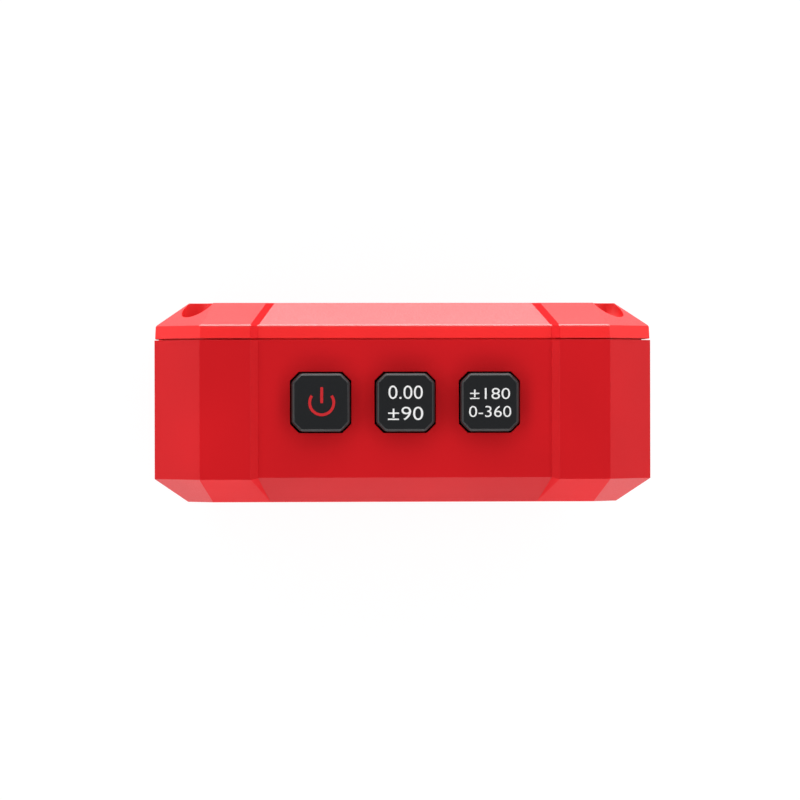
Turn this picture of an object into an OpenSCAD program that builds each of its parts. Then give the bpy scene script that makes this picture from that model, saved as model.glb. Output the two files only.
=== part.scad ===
// Digital angle gauge: a faceted plastic case that stands on a grooved magnetic base.
// Millimetres, +Z up. The display faces -Y, the keys are on top, and the origin is under the
// middle of the case, in the plane of the base.

/* [Case] */
// Width across the two side faces
case_w = 70; // [67:0.5:80]
// Height from the base to the key side
case_h = 70; // [67:0.5:80]
// Thickness from the display face to the back
case_t = 28; // [27:0.5:34]
// Leg of the cut across each corner of the outline
corner_cut = 6.3; // [4.5:0.1:7]
// How far the front and back bevels reach in from the outline
bevel_in = 4.7; // [3.5:0.1:5]
// How deep the front and back bevels are along the thickness
bevel_d = 3.25; // [2.4:0.05:3.4]
// Wall round the sides
wall = 2.4; // [2:0.1:2.8]
// Wall behind the display window
front_wall = 2; // [1.8:0.1:2.4]
// Wall of the back cover
back_wall = 2; // [1.8:0.1:2.4]

/* [Side panels] */
// Length along a side of the raised block at each corner
block_len = 13.4; // [11:0.1:15]
// Depth of the panel between two blocks
panel_d = 0.7; // [0.4:0.05:1]
// Width of the ramp from a block down to the panel
ramp_w = 1.05; // [0.6:0.05:1.5]
// How far the ramps lean in along the front bevel
front_lean = 2.9; // [1:0.1:4]
// How far the ramps lean in along the back bevel
back_lean = 2.4; // [1:0.1:4]

/* [Back cover] */
// From the back face to the seam
cover_t = 5.05; // [4.4:0.05:5.6]
// Width of the shadow groove along the seam
seam_gap = 0.2; // [0.15:0.05:0.4]
// Depth of the shadow groove below the panels
seam_d = 0.5; // [0.5:0.1:1.1]
// How far the cover stands inside the body's outline
cover_inset = 0.08; // [0.04:0.02:0.2]
// How far the cover's side leans in between seam and bevel
cover_draft = 0.1; // [0.04:0.02:0.2]
// Thickness of the lip that locates the cover in the body
lip_t = 1.2; // [0.8:0.1:1.6]
// Length of the lip below the seam
lip_len = 1.3; // [0.8:0.1:1.8]

/* [Case screws] */
// Distance of each screw from the two nearest sides
screw_in = 6.2; // [5.8:0.05:6.6]
// Diameter of the recess for the screw head
recess_dia = 4.7; // [4.4:0.1:5]
// Depth of the recess below the back face
recess_d = 3.8; // [3.2:0.1:4.2]
// Diameter of the screw shank
screw_dia = 2.2; // [2:0.1:2.6]
// Length of the screw under its head
screw_len = 10; // [8:0.5:14]
// Diameter of the screw head
head_dia = 4; // [3.6:0.1:4.2]
// Height of the screw head
head_t = 1.6; // [1.2:0.1:2]
// Diameter of the boss that takes the screw
boss_dia = 5.6; // [5:0.1:6]

/* [Keys] */
// Side of a square key
key_w = 8.15; // [7.5:0.05:8.8]
// Leg of the cut across each corner of a key
key_cut = 1.25; // [0.8:0.05:1.6]
// Width of the bevel round the top of a key
key_bevel = 0.35; // [0.2:0.05:0.6]
// Distance between neighbouring keys
key_pitch = 11.8; // [11.6:0.1:12.6]
// How far a key stands above its panel
key_proud = 1.5; // [0.8:0.1:1.6]
// Gap round a key in its opening
key_gap = 0.2; // [0.15:0.01:0.3]
// How far the hidden flange reaches out past the key
flange_out = 0.95; // [0.6:0.05:1.1]
// Thickness of the hidden flange
flange_t = 1; // [0.8:0.1:1.4]
// Travel of a key
key_travel = 0.4; // [0.2:0.05:0.5]
// Length of the post under the flange
post_len = 0.8; // [0.6:0.1:1.2]

/* [Key switches] */
// Side of a tactile switch
switch_w = 6; // [5.5:0.1:6.4]
// Height of the switch housing
switch_h = 3.5; // [3:0.1:4]
// How far the stem stands above the housing
stem_up = 1.5; // [1:0.1:1.8]
// Diameter of the stem
stem_dia = 3.5; // [3:0.1:3.8]
// Thickness of the key board
key_board_t = 1.2; // [1:0.1:1.6]
// Depth of the key board along the case thickness
key_board_d = 12.4; // [11.6:0.1:13]

/* [Display] */
// Width of the display window
window_w = 52; // [50:0.5:54]
// Height of the display window
window_h = 40; // [38:0.5:42]
// Thickness of the display window
window_t = 1.2; // [1:0.05:1.3]
// Corner radius of the display window
window_r = 3; // [2:0.5:4]
// Width of the liquid crystal panel
lcd_w = 46; // [44:0.5:47]
// Height of the liquid crystal panel
lcd_h = 31; // [30:0.5:33]
// Thickness of the liquid crystal panel
lcd_t = 1.8; // [1.4:0.1:2.2]
// Thickness of the light guide behind the panel
guide_t = 3; // [2.6:0.1:3.4]
// Thickness of the foam gasket in front of the panel
gasket_t = 0.5; // [0.3:0.1:0.7]
// Margin of the panel that the gasket covers
lcd_margin = 1.5; // [1:0.1:2]
// Height of the elastomer strip that joins panel and board
strip_h = 2.4; // [2:0.1:2.8]
// Wall of the frame round the panel
frame_wall = 1.6; // [1.2:0.1:1.8]

/* [Main board] */
// Thickness of the main board
board_t = 1.6; // [1.2:0.1:1.8]
// Height of the main board's lower edge above the base
board_z0 = 11.5; // [10.5:0.1:13]
// Diameter of a board post
post_dia = 4.2; // [3.8:0.1:4.6]
// Distance of the board posts above and below the display's middle
post_dz = 14; // [12:0.5:15]
// Diameter of a board screw's shank
board_screw_dia = 1.9; // [1.7:0.1:2.1]
// Length of a board screw under its head
board_screw_len = 5.5; // [4.5:0.1:6]

/* [Batteries] */
// Diameter of a cell
cell_dia = 10.5; // [10:0.1:10.8]
// Length of a cell with its nub
cell_len = 44.5; // [43:0.1:45]
// Room at each end of the cells for the contacts
contact_room = 3.25; // [2.8:0.05:3.6]
// Thickness of a contact plate
contact_t = 0.4; // [0.3:0.05:0.5]
// Wall of the battery tub
tub_wall = 1.2; // [1:0.1:1.5]
// Thickness of the battery door
door_t = 1.8; // [1.6:0.1:2]
// How far the door's tongues reach into the rails
tongue = 0.8; // [0.6:0.1:1]
// Gap round the door in its rails
door_gap = 0.1; // [0.06:0.02:0.16]

/* [Base] */
// Width of the groove at the base plane
groove_w = 9; // [7:0.5:9.5]
// Depth of the groove above the base plane
groove_d = 4; // [3:0.1:4.4]
// Diameter of a magnet
magnet_dia = 4; // [3.5:0.1:4.4]
// Length of a magnet
magnet_len = 4; // [3:0.1:4.5]
// How far a magnet sits inside the plane that it holds to
magnet_set = 0.15; // [0.05:0.05:0.3]
// Distance of the base magnets from the middle, along the width
magnet_dx = 14; // [11:0.5:16]
// Distance of the side magnets from the middle, along the height
magnet_dz = 12; // [10:0.5:14]

/* [Hidden] */
$fn = 48;

// Small working gaps and cutting margins
slip = 0.05;
fit = 0.1;
over = 1;

// Colours
red = [0.80, 0.07, 0.09];
black = [0.05, 0.05, 0.055];
steel = [0.72, 0.73, 0.75];
board_green = [0.05, 0.30, 0.16];

// Levels along the thickness
y_front = -case_t / 2;
y_back = case_t / 2;
y_rim = y_back - cover_t - seam_gap;
y_front_in = y_front + front_wall;
y_back_in = y_back - back_wall;
y_front_bevel = y_front + bevel_d;
y_back_bevel = y_back - bevel_d;
y_base = (y_front_bevel + y_rim) / 2;

// Half sizes of the outline, seen from the front
half_w = case_w / 2;
half_h = case_h / 2;
mid_z = half_h;

// Screws
screw_x = half_w - screw_in;
screw_z = half_h - screw_in;
screw_seat = y_back - recess_d;
cup_wall = 1.2;
cup_dia = recess_dia + 2 * cup_wall;
lip_gap = 0.15;
thread_gap = 0.03;
clear_gap = 0.2;

// Keys and what stands under them
key_top = case_h - panel_d + key_proud;
flange_top = case_h - wall - fit;
flange_w = key_w + 2 * flange_out;
stem_top = flange_top - flange_t - post_len;
key_board_top = stem_top - stem_up - switch_h;
key_board_bottom = key_board_top - key_board_t;
key_board_w = 2 * key_pitch + 3 * switch_w;
rail_wall = 1.5;
rail_grip = 1.3;
rail_bottom = key_board_bottom - rail_wall;
post_step = 0.25;
post_dia_key = stem_dia - 2 * post_step;
switch_floor = 1.2;
stem_foot = switch_floor + key_travel + fit;
leg_w = 0.8;
leg_out = 0.8;
leg_t = 0.3;
stop_w = 2;
stop_h = 2.2;

// Display stack and main board
lcd_y = y_front_in + gasket_t;
guide_y = lcd_y + lcd_t;
board_y = guide_y + guide_t;
board_back = board_y + board_t;
board_z1 = rail_bottom - over;
board_gap = 0.5;
board_w = case_w - 2 * (wall + board_gap);
frame_w = lcd_w + 2 * (fit + frame_wall);
frame_h = lcd_h + 2 * (fit + frame_wall);
view_w = lcd_w - 2 * lcd_margin;
view_h = lcd_h - strip_h - 2 * lcd_margin;
view_z = mid_z + strip_h / 2;
view_r = 1;
guide_gap = 0.5;
post_x = frame_w / 2 + board_gap + post_dia / 2;
board_head_dia = 2 * board_screw_dia;
board_head_t = 1.3;
chip_x = -9;
chip_dz = -2;
chip_w = 10;
chip_t = 1.4;
sensor_dz = 12;
sensor_w = 3;
sensor_t = 1;
pin_w = 0.6;
pin_pitch = 2;
pin_foot = 3;

// Battery tub and door
door_in = y_back - door_t;
cell_gap = 0.4;
cell_side_gap = 0.15;
cell_floor_gap = 0.2;
cell_y = door_in - cell_gap - cell_dia / 2;
cell_dz = cell_dia / 2 + cell_side_gap;
bay_x = cell_len / 2 + contact_room;
bay_z = 2 * cell_dz + slip;
tub_floor = cell_y - cell_dia / 2 - cell_floor_gap;
contact_in = bay_x - slip - contact_t;
dimple = 0.9;
nub_len = 0.8;
nub_dia = 3.8;
cell_tip = contact_in - dimple - slip;
cell_end = cell_len - cell_tip;
tail_w = 2;
tail_gap = 0.2;
plate_in = 0.4;
plate_low = 1;
dimple_foot = 4.5;
dimple_tip = 2.5;
bridge_h = 4;
// Which contacts have a tail: [upper or lower cell, left or right end]
contact_tails = [[-1, -1], [1, 1], [-1, 1]];
spring_wire = 0.6;
spring_turns = 3.5;
coil_steps = 14;
coil_sides = 8;
spring_len = contact_in - cell_end - 2 * slip;
spring_wide = 3.6;
spring_narrow = 2.2;
door_side = 2.1;
door_end = 1.5;
door_z = bay_z + door_side;
door_x0 = -bay_x - door_end;
door_step = door_t / 2;
rail_block = 2.4;
grip_in = 6;
grip_pitch = 1.8;
grip_w = 0.8;
grip_len = 14;
grip_d = 0.2;
grip_r = 0.39;

// Magnets
magnet_wall = 1.2;
pad_shift = 0.2;
side_shift = 1.5;
magnet_y_front = (y_front_bevel + y_base - groove_w / 2) / 2 + pad_shift;
magnet_y_back = (y_rim + y_base + groove_w / 2) / 2 - pad_shift;
side_magnet_y = y_base + side_shift;

// Helpers

// A prism along Y over a flat outline drawn about the middle of the case.
module slab(y0, y1) {
    translate([0, y1, mid_z]) rotate([90, 0, 0]) linear_extrude(y1 - y0) children();
}

module rod_y(dia, y0, y1) {
    translate([0, y1, 0]) rotate([90, 0, 0]) cylinder(d = dia, h = y1 - y0);
}

module box(low, high) {
    translate(low) cube(high - low);
}

module rounded_rect(w, h, r) {
    square([w - 2 * r, h], center = true);
    square([w, h - 2 * r], center = true);
    for (x = [-1, 1], y = [-1, 1])
        translate([x * (w / 2 - r), y * (h / 2 - r)]) circle(r);
}

function cut_square(w, cut) = [
    for (q = [0 : 3], e = [0, 1])
        let (p = e == 0 ? [w / 2, w / 2 - cut] : [w / 2 - cut, w / 2])
        [p[0] * cos(90 * q) - p[1] * sin(90 * q), p[0] * sin(90 * q) + p[1] * cos(90 * q)]
];

// A solid through a row of sections with the same number of points, each listed clockwise as
// seen along the row.
module loft(sections) {
    n = len(sections[0]);
    last = len(sections) - 1;
    polyhedron(
        points = [for (s = sections) each s],
        faces = concat(
            [[for (i = [0 : n - 1]) i]],
            [[for (i = [n - 1 : -1 : 0]) last * n + i]],
            [for (j = [0 : last - 1], i = [0 : n - 1])
                [j * n + i, (j + 1) * n + i, (j + 1) * n + (i + 1) % n, j * n + (i + 1) % n]]
        )
    );
}

// The case outline with its cut corners, moved in evenly by inset, about the middle of the case.
function outline(inset) =
    let (w = half_w - inset, h = half_h - inset, c = corner_cut - inset * (2 - sqrt(2)))
    [[w, c - h], [w, h - c], [w - c, h], [c - w, h], [-w, h - c], [-w, c - h], [c - w, -h], [w - c, -h]];

function outline_at(inset, y) = [for (p = outline(inset)) [p[0], y, p[1]]];

module prism(inset, y0, y1) {
    slab(y0, y1) polygon(outline(inset));
}

// The body or its inside: straight walls, and a bevel that closes in to the front.
module bevelled_body(inset, y0, y1) {
    prism(inset, y0 + bevel_d, y1);
    translate([0, 0, mid_z])
        loft([outline_at(inset, y0 + bevel_d), outline_at(inset + bevel_in, y0)]);
}

module body_form() {
    bevelled_body(0, y_front, y_rim);
}

module cover_form() {
    translate([0, 0, mid_z]) loft([
        outline_at(cover_inset + cover_draft + bevel_in, y_back),
        outline_at(cover_inset + cover_draft, y_back_bevel),
        outline_at(cover_inset, y_rim)
    ]);
}

// Sunken panels between the corner blocks

// Runs its children on each of the four sides, turned so that the side faces up.
module each_side() {
    for (side = [0 : 3]) translate([0, 0, mid_z]) rotate([0, 90 * side, 0]) {
        if (side % 2 == 0) children(0);
        else children(1);
    }
}

// One section of a panel's channel: a floor at level - panel_d and ramps up past level.
function channel_section(y, span, level) = [
    [span + ramp_w, y, level + panel_d], [-span - ramp_w, y, level + panel_d],
    [-span + ramp_w, y, level - panel_d], [span - ramp_w, y, level - panel_d]
];

// On the body the panel runs straight, and its floor rises to meet the bevel at the front.
module body_panel_cut(half, span) {
    fade = 0.96;
    lead = 0.25;
    floor_x = span - ramp_w;
    top_x = span + ramp_w;
    tip_x = span - front_lean * fade;
    tip_y = y_front_bevel - bevel_d * fade;
    tip_z = half - bevel_in * fade;
    floor_end = [y_front_bevel + lead, half - panel_d];
    top_end = [y_front_bevel - lead, half + panel_d];
    loft([
        channel_section(y_rim + over, span, half),
        [[top_x, top_end[0], top_end[1]], [-top_x, top_end[0], top_end[1]],
            [-floor_x, floor_end[0], floor_end[1]], [floor_x, floor_end[0], floor_end[1]]]
    ]);
    loft([
        for (side = [-1, 1]) [
            [side * floor_x, floor_end[0], floor_end[1]],
            [side * top_x, top_end[0], top_end[1]],
            [side * tip_x, tip_y, tip_z]
        ]
    ]);
}

// On the cover the panel keeps its depth down the bevel to the back face.
module cover_panel_cut(half, span) {
    past = 1.3;
    seam_level = half - cover_inset;
    bevel_level = seam_level - cover_draft;
    loft([
        channel_section(y_back + bevel_d * (past - 1), span - back_lean * past,
            bevel_level - bevel_in * past),
        channel_section(y_back_bevel, span, bevel_level),
        channel_section(y_rim - over, span, seam_level)
    ]);
}

// Body

module corner_screws() {
    for (x = [-1, 1], z = [-1, 1])
        translate([x * screw_x, 0, mid_z + z * screw_z]) children();
}

module board_posts() {
    for (x = [-1, 1], z = [-1, 1])
        translate([x * post_x, 0, mid_z + z * post_dz]) children();
}

// Slotted rails that the key board slides into from the back.
module key_rail() {
    grip_x = key_board_w / 2 - rail_grip;
    slot_x = key_board_w / 2 + fit;
    difference() {
        box([grip_x, y_front_in - fit, rail_bottom],
            [slot_x + rail_wall, key_board_d / 2 + fit, key_board_top + rail_wall]);
        box([grip_x - over, -key_board_d / 2 - fit, key_board_bottom - slip],
            [slot_x, key_board_d / 2 + over, key_board_top + slip]);
    }
}

module groove_profile(grow) {
    tip = 0.5;
    polygon([
        [-groove_w / 2 - grow - over, -over], [groove_w / 2 + grow + over, -over],
        [groove_w / 2 + grow, 0], [tip + grow, groove_d + grow], [-tip - grow, groove_d + grow],
        [-groove_w / 2 - grow, 0]
    ]);
}

module groove(grow, length) {
    translate([0, y_base, 0]) rotate([90, 0, 90])
        linear_extrude(length, center = true) groove_profile(grow);
}

module base_magnet_places() {
    for (x = [-1, 1], y = [magnet_y_front, magnet_y_back])
        translate([x * magnet_dx, y, 0]) children();
}

module side_magnet_places() {
    for (side = [-1, 1], z = [-1, 1])
        translate([side * half_w, side_magnet_y, mid_z + z * magnet_dz])
            rotate([0, -90 * side, 0]) children();
}

module magnet_boss(grow = 0) {
    cylinder(d = magnet_dia + 2 * (magnet_wall + grow),
        h = magnet_set + magnet_len + fit + magnet_wall + grow);
}

module magnet_pocket() {
    translate([0, 0, -over])
        cylinder(d = magnet_dia + 2 * slip, h = over + magnet_set + magnet_len + fit);
}

module key_places() {
    for (i = [0 : 2]) translate([(i - 1) * key_pitch, 0, 0]) children();
}

module front_case() color(red) difference() {
    union() {
        difference() {
            body_form();
            bevelled_body(wall, y_front_in, y_rim + over);
        }
        intersection() {
            body_form();
            union() {
                corner_screws() rod_y(boss_dia, y_front_in, y_rim - fit);
                board_posts() rod_y(post_dia, y_front_in - fit, board_y);
                base_magnet_places() magnet_boss();
                side_magnet_places() magnet_boss();
                groove(front_wall, case_w);
            }
        }
        key_rail();
        mirror([1, 0, 0]) key_rail();
    }
    each_side() {
        body_panel_cut(half_h, half_w - block_len);
        body_panel_cut(half_w, half_h - block_len);
    }
    corner_screws() rod_y(screw_dia + 2 * thread_gap, screw_seat - screw_len - over, y_back);
    board_posts()
        rod_y(board_screw_dia + 2 * thread_gap, board_back - board_screw_len - fit, board_y + over);
    base_magnet_places() magnet_pocket();
    side_magnet_places() magnet_pocket();
    groove(0, 2 * case_w);
    key_places() translate([0, 0, flange_top - fit])
        linear_extrude(wall + over) polygon(cut_square(key_w + 2 * key_gap, key_cut));
    slab(y_front - over, y_front + window_t + slip)
        rounded_rect(window_w + 2 * fit, window_h + 2 * fit, window_r);
    translate([0, 0, view_z - mid_z]) slab(y_front, y_front_in + over)
        rounded_rect(view_w, view_h, view_r);
}

// Back cover and battery door

module door_section(gap) {
    polygon([
        [door_in - gap, -door_z - tongue - gap], [door_in - gap, door_z + tongue + gap],
        [y_back - door_step + gap, door_z + tongue + gap], [y_back - door_step + gap, door_z + gap],
        [y_back + over, door_z + gap], [y_back + over, -door_z - gap],
        [y_back - door_step + gap, -door_z - gap],
        [y_back - door_step + gap, -door_z - tongue - gap]
    ]);
}

module door_run(gap, x0) {
    translate([x0 - gap, 0, mid_z]) rotate([90, 0, 90])
        linear_extrude(case_w) door_section(gap);
}

module cover_panels() {
    each_side() {
        cover_panel_cut(half_h, half_w - block_len);
        cover_panel_cut(half_w, half_h - block_len);
    }
}

// Slots in the tub floor for the tails of the three contacts.
module contact_tail_slots() {
    for (place = contact_tails)
        translate([place[1] * (contact_in + contact_t / 2), 0, mid_z + place[0] * cell_dz])
            box([-contact_t, tub_floor - tub_wall - over, -tail_w / 2 - tail_gap],
                [contact_t, tub_floor + over, tail_w / 2 + tail_gap]);
}

// The ring outside the rim's seat, which leaves the shadow groove along the seam.
module seam_ring() difference() {
    slab(y_rim - over, y_rim + seam_gap) square(2 * case_w, center = true);
    prism(panel_d + seam_d, y_rim - 2 * over, y_rim + 2 * over);
}

// The lip that drops inside the body's wall, open for the screw bosses and the magnet bosses.
module locating_lip() difference() {
    prism(wall + lip_gap, y_rim - lip_len, y_rim + over);
    corner_screws() rod_y(cup_dia + 2 * fit, y_rim - lip_len - over, y_rim);
    intersection() {
        base_magnet_places() magnet_boss(2 * lip_gap);
        slab(y_front, y_rim) square(2 * case_w, center = true);
    }
}

// What stands inside the cover: screw cups, door rails, the battery tub and the board stops.
module cover_inner_forms() {
    corner_screws() rod_y(cup_dia, y_rim, y_back);
    box([door_x0 - rail_block, door_in - rail_block, mid_z - door_z - rail_block],
        [half_w, y_back, mid_z + door_z + rail_block]);
    box([-bay_x - tub_wall, tub_floor - tub_wall, mid_z - bay_z - tub_wall],
        [bay_x + tub_wall, y_back, mid_z + bay_z + tub_wall]);
    for (x = [-1, 1]) translate([x * (key_pitch + switch_w), 0, key_board_top - key_board_t / 2])
        box([-stop_w / 2, key_board_d / 2 + fit, -stop_h / 2], [stop_w / 2, y_back, stop_h / 2]);
}

module back_cover() color(red) difference() {
    union() {
        difference() {
            union() {
                cover_form();
                locating_lip();
            }
            prism(wall + lip_gap + lip_t, y_rim - lip_len - over, y_back_in);
            seam_ring();
        }
        intersection() {
            cover_inner_forms();
            prism(wall + lip_gap + lip_t / 2, tub_floor - 2 * tub_wall, y_back_in + fit);
        }
    }
    cover_panels();
    corner_screws() {
        rod_y(recess_dia, screw_seat, y_back + over);
        rod_y(screw_dia + 2 * clear_gap, y_rim - over, y_back);
    }
    box([-bay_x, tub_floor, mid_z - bay_z], [bay_x, y_back, mid_z + bay_z]);
    door_run(door_gap, door_x0);
    contact_tail_slots();
}

module battery_door() color(red) difference() {
    intersection() {
        door_run(0, door_x0);
        difference() {
            cover_form();
            cover_panels();
        }
    }
    grip_x = half_w - bevel_in - grip_in;
    for (i = [0 : 4]) translate([grip_x - i * grip_pitch, y_back, mid_z]) rotate([90, 0, 0])
        linear_extrude(2 * grip_d, center = true) rounded_rect(grip_w, grip_len, grip_r);
}

// Display

module display_window() color([0.10, 0.11, 0.12, 0.5])
    slab(y_front + slip, y_front + window_t + slip)
        rounded_rect(window_w, window_h, window_r - fit);

module window_gasket() color(black) difference() {
    slab(y_front_in, lcd_y) square([lcd_w, lcd_h], center = true);
    translate([0, 0, view_z - mid_z]) slab(y_front_in - over, lcd_y + over)
        square([view_w + 2 * slip, view_h + 2 * slip], center = true);
}

module lcd_panel() color([0.55, 0.60, 0.53])
    slab(lcd_y, guide_y) square([lcd_w, lcd_h], center = true);

module light_guide() color([0.92, 0.93, 0.90])
    translate([0, 0, view_z - mid_z]) slab(guide_y, board_y)
        square([lcd_w - lcd_margin, lcd_h - strip_h - 2 * slip - guide_gap], center = true);

module elastomer_strip() color([0.25, 0.25, 0.27])
    translate([0, 0, -(lcd_h - strip_h) / 2 + slip]) slab(guide_y, board_y)
        square([lcd_w - lcd_margin, strip_h - 2 * slip], center = true);

module display_frame() color([0.90, 0.90, 0.88]) difference() {
    slab(y_front_in, board_y) square([frame_w, frame_h], center = true);
    slab(y_front_in - over, board_y + over)
        square([lcd_w + 2 * fit, lcd_h + 2 * fit], center = true);
}

// Main board

module main_board() color(board_green) difference() {
    box([-board_w / 2, board_y, board_z0], [board_w / 2, board_back, board_z1]);
    board_posts() rod_y(board_screw_dia + 2 * clear_gap, board_y - over, board_back + over);
}

module chip(x, z, w, h) {
    translate([x, board_back, z]) box([-w / 2, 0, -w / 2], [w / 2, h, w / 2]);
}

module controller_chip() color(black) chip(chip_x, mid_z + chip_dz, chip_w, chip_t);

module tilt_sensor() color(black) chip(0, mid_z + sensor_dz, sensor_w, sensor_t);

// A pan-head screw with a cross recess, head up along +Y and seated at y = 0.
module pan_screw(shank, length, head, head_h) {
    slot = head / 5;
    reach = head / 3;
    floor_y = head_h * 0.45;
    difference() {
        union() {
            rod_y(shank, -length, 0);
            rod_y(head, 0, head_h);
        }
        for (turn = [0, 90]) rotate([0, turn, 0])
            box([-reach, floor_y, -slot / 2], [reach, head_h + over, slot / 2]);
    }
}

module board_screws() color(steel) board_posts()
    translate([0, board_back, 0])
        pan_screw(board_screw_dia, board_screw_len, board_head_dia, board_head_t);

module case_screws() color(steel) corner_screws()
    translate([0, screw_seat, 0]) pan_screw(screw_dia, screw_len, head_dia, head_t);

// Key board, switches and keys

module key_board() color(board_green)
    box([-key_board_w / 2, -key_board_d / 2, key_board_bottom],
        [key_board_w / 2, key_board_d / 2, key_board_top]);

module link_pins() color([0.85, 0.70, 0.35])
    for (i = [0 : 3]) translate([(i - 1.5) * pin_pitch, board_back, board_z1 - pin_foot])
        box([-pin_w / 2, 0, 0], [pin_w / 2, pin_w, key_board_bottom - board_z1 + pin_foot]);

module switch_housing(i) color([0.12, 0.12, 0.13])
    translate([(i - 1) * key_pitch, 0, key_board_top]) difference() {
        union() {
            box([-switch_w / 2, -switch_w / 2, 0], [switch_w / 2, switch_w / 2, switch_h]);
            for (x = [-1, 1]) translate([x * switch_w / 3, 0, 0])
                box([-leg_w / 2, -switch_w / 2 - leg_out, 0], [leg_w / 2, switch_w / 2 + leg_out, leg_t]);
        }
        translate([0, 0, switch_floor]) cylinder(d = stem_dia + 2 * slip, h = switch_h);
    }

module switch_stem(i) color([0.85, 0.82, 0.72])
    translate([(i - 1) * key_pitch, 0, key_board_top + stem_foot])
        cylinder(d = stem_dia, h = switch_h + stem_up - stem_foot);

module key_cap(i) color(black) translate([(i - 1) * key_pitch, 0, 0]) {
    bevel_z = key_top - key_bevel;
    inner_cut = key_cut - key_bevel * (2 - sqrt(2));
    translate([0, 0, flange_top - fit])
        linear_extrude(bevel_z - flange_top + fit) polygon(cut_square(key_w, key_cut));
    loft([
        [for (p = cut_square(key_w, key_cut)) [p[0], p[1], bevel_z]],
        [for (p = cut_square(key_w - 2 * key_bevel, inner_cut)) [p[0], p[1], key_top]]
    ]);
    translate([0, 0, flange_top - flange_t])
        linear_extrude(flange_t) polygon(cut_square(flange_w, key_cut));
    translate([0, 0, stem_top]) cylinder(d = post_dia_key, h = post_len + fit);
}

// Battery cells and contacts

module cell(side) color([0.16, 0.18, 0.22])
    translate([0, cell_y, mid_z + side * cell_dz]) rotate([0, 90 * side, 0]) {
        translate([0, 0, -cell_end]) cylinder(d = cell_dia, h = cell_len - nub_len);
        translate([0, 0, -cell_end]) cylinder(d = nub_dia, h = cell_len);
    }

module contact_plate(side, end) {
    x = end * (contact_in + contact_t / 2);
    translate([x, 0, mid_z + side * cell_dz])
        box([-contact_t / 2, tub_floor + slip, plate_in - cell_dz],
            [contact_t / 2, cell_y + cell_dia / 2 - plate_low, cell_dz - plate_in]);
}

module contact_tail(side, end) {
    translate([end * (contact_in + contact_t / 2), 0, mid_z + side * cell_dz])
        box([-contact_t / 2, board_back, -tail_w / 2], [contact_t / 2, tub_floor + fit, tail_w / 2]);
}

module contact_dimple(side, end) {
    translate([end * (contact_in + slip), cell_y, mid_z + side * cell_dz])
        rotate([0, -90 * end, 0]) cylinder(d1 = dimple_foot, d2 = dimple_tip, h = dimple + slip);
}

module bridge_contact() color(steel) {
    contact_plate(1, -1);
    contact_plate(-1, -1);
    contact_dimple(-1, -1);
    contact_tail(-1, -1);
    x = -contact_in - contact_t / 2;
    translate([x, cell_y, mid_z])
        box([-contact_t / 2, -bridge_h / 2, -2 * plate_in], [contact_t / 2, bridge_h / 2, 2 * plate_in]);
}

module positive_contact() color(steel) {
    contact_plate(1, 1);
    contact_dimple(1, 1);
    contact_tail(1, 1);
}

module negative_contact() color(steel) {
    contact_plate(-1, 1);
    contact_tail(-1, 1);
}

// A conical coil spring that stands on a contact plate and bears on the flat end of a cell.
// t runs from 0 at the plate to 1 at the cell.
function coil_centre(t) =
    let (a = 360 * spring_turns * t, r = spring_wide + (spring_narrow - spring_wide) * t)
    [r * cos(a), r * sin(a), spring_wire / 2 + (spring_len - spring_wire) * t];

function coil_ring(t, sides) =
    let (a = 360 * spring_turns * t, r = spring_wire / 2)
    [for (k = [0 : sides - 1]) let (b = -360 * k / sides)
        coil_centre(t) + r * [cos(b) * cos(a), cos(b) * sin(a), sin(b)]];

module cell_spring(side) color(steel) {
    steps = coil_steps * spring_turns;
    translate([side * (slip - contact_in), cell_y, mid_z + side * cell_dz]) rotate([0, 90 * side, 0])
        loft([for (s = [0 : steps]) coil_ring(s / steps, coil_sides)]);
}

// Magnets

module magnet() color([0.62, 0.63, 0.66])
    translate([0, 0, magnet_set]) cylinder(d = magnet_dia, h = magnet_len);

module base_magnet(x, y) translate([x * magnet_dx, y, 0]) magnet();

module side_magnet(side, z)
    translate([side * half_w, side_magnet_y, mid_z + z * magnet_dz])
        rotate([0, -90 * side, 0]) magnet();

// Nodes

front_case();
back_cover();
battery_door();
display_window();
window_gasket();
lcd_panel();
light_guide();
elastomer_strip();
display_frame();
main_board();
controller_chip();
tilt_sensor();
board_screws();
key_board();
link_pins();
switch_housing(0);  // power_switch
switch_housing(1);  // reference_switch
switch_housing(2);  // hold_switch
switch_stem(0);  // power_switch_stem
switch_stem(1);  // reference_switch_stem
switch_stem(2);  // hold_switch_stem
key_cap(0);  // power_key
key_cap(1);  // reference_key
key_cap(2);  // hold_key
bridge_contact();
positive_contact();
negative_contact();
cell_spring(1);  // upper_spring
cell_spring(-1);  // lower_spring
cell(1);  // upper_cell
cell(-1);  // lower_cell
case_screws();
base_magnet(-1, magnet_y_front);  // base_magnet_front_left
base_magnet(1, magnet_y_front);  // base_magnet_front_right
base_magnet(-1, magnet_y_back);  // base_magnet_back_left
base_magnet(1, magnet_y_back);  // base_magnet_back_right
side_magnet(-1, -1);  // left_magnet_low
side_magnet(-1, 1);  // left_magnet_high
side_magnet(1, -1);  // right_magnet_low
side_magnet(1, 1);  // right_magnet_high
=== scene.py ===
"""The looks of the digital angle gauge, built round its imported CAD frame.

Sizes are in millimetres in the class fields and in metres in Blender.  The keys are on top (+Z), the
display faces -Y and the back cover faces +Y, as in the CAD model.
"""

import logging
import math
from contextlib import contextmanager
from dataclasses import dataclass
from enum import Enum, IntEnum
from typing import Callable, Iterator, Sequence

import bmesh
import bpy
from mathutils import Matrix, Vector


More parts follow.
